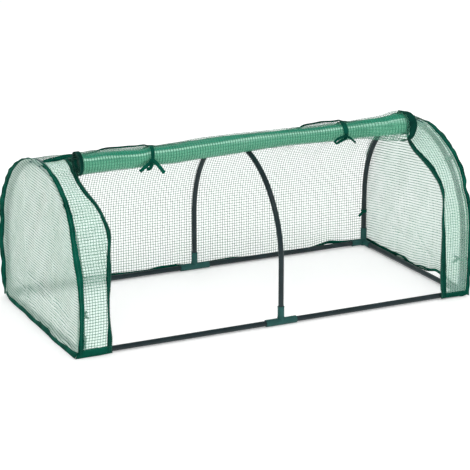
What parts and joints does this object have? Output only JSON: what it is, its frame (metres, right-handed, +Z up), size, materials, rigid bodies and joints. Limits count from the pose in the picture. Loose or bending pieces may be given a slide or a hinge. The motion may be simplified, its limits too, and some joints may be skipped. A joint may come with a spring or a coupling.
{
  "type": "portable greenhouse",
  "caption": "Low tunnel greenhouse: a push-fit tube frame with round hoops under a zipped, translucent cover, with its front door rolled up and tied at the ridge.",
  "frame": {"origin": "on the ground, under the middle of the greenhouse", "axes": "+X along the tunnel to its right end, -Y towards the door side, +Z up"},
  "size_m": [1.2206, 0.6106, 0.5118],
  "materials": {
    "tube": "dark green-grey plastic-coated steel tube, satin",
    "connector": "moulded dark teal plastic, fine grain",
    "film": "clear film over a green thread grid, softly glossy",
    "binding": "woven dark green edge tape",
    "zip": "woven dark green zip tape with a plastic bead",
    "slider": "green coated die-cast metal"
  },
  "bodies": {
    "frame_and_cover": {"front_rail_left": "tube", "front_rail_right": "tube", "back_rail_left": "tube", "back_rail_right": "tube", "side_rail_left": "tube", "side_rail_right": "tube", "hoop_left_front_half": "tube", "hoop_left_back_half": "tube", "hoop_middle_front_half": "tube", "hoop_middle_back_half": "tube", "hoop_right_front_half": "tube", "hoop_right_back_half": "tube", "hoop_coupler_left": "connector", "hoop_coupler_middle": "connector", "hoop_coupler_right": "connector", "corner_connector_front_left": "connector", "corner_connector_front_right": "connector", "corner_connector_back_left": "connector", "corner_connector_back_right": "connector", "tee_connector_front": "connector", "tee_connector_back": "connector", "back_panel": "film", "end_panel_left": "film", "end_panel_right": "film", "front_strip_left": "film", "front_strip_right": "film", "ridge_tape": "binding", "end_seam_tape_left": "binding", "end_seam_tape_right": "binding", "hem_back": "binding", "hem_end_left": "binding", "hem_end_right": "binding", "hem_strip_left": "binding", "hem_strip_right": "binding", "zip_tape_left": "zip", "zip_tape_right": "zip", "leg_strap_front_left": "binding", "leg_strap_front_right": "binding", "leg_strap_back_left": "binding", "leg_strap_back_right": "binding", "arc_strap_front_left": "binding", "arc_strap_front_right": "binding"},
    "rolled_door": {"door_panel": "film", "door_hem": "binding", "door_zip_tape_left": "zip", "door_zip_tape_right": "zip", "tie_left": "binding", "tie_right": "binding"},
    "zip_slider_left": {"zip_slider_left": "slider"},
    "zip_slider_right": {"zip_slider_right": "slider"},
    "zip_pull_left": {"zip_pull_left": "slider"},
    "zip_pull_right": {"zip_pull_right": "slider"}
  },
  "joints": [
    {"name": "door_lift", "type": "hinge", "parent": "frame_and_cover", "child": "rolled_door", "pos_m": [0, -0.006, 0.47074], "axis": [-1, 0, 0], "range_deg": [0, 85]},
    {"name": "zip_travel_left", "type": "hinge", "parent": "frame_and_cover", "child": "zip_slider_left", "pos_m": [-0.514, 0, 0.175], "axis": [1, 0, 0], "range_deg": [0, 5.5]},
    {"name": "zip_travel_right", "type": "hinge", "parent": "frame_and_cover", "child": "zip_slider_right", "pos_m": [0.514, 0, 0.175], "axis": [1, 0, 0], "range_deg": [0, 5.5]},
    {"name": "pull_swing_left", "type": "hinge", "parent": "zip_slider_left", "child": "zip_pull_left", "pos_m": [-0.514, -0.03407, 0.47407], "axis": [1, 0, 0], "range_deg": [0, 160]},
    {"name": "pull_swing_right", "type": "hinge", "parent": "zip_slider_right", "child": "zip_pull_right", "pos_m": [0.514, -0.03407, 0.47407], "axis": [1, 0, 0], "range_deg": [0, 160]}
  ]
}
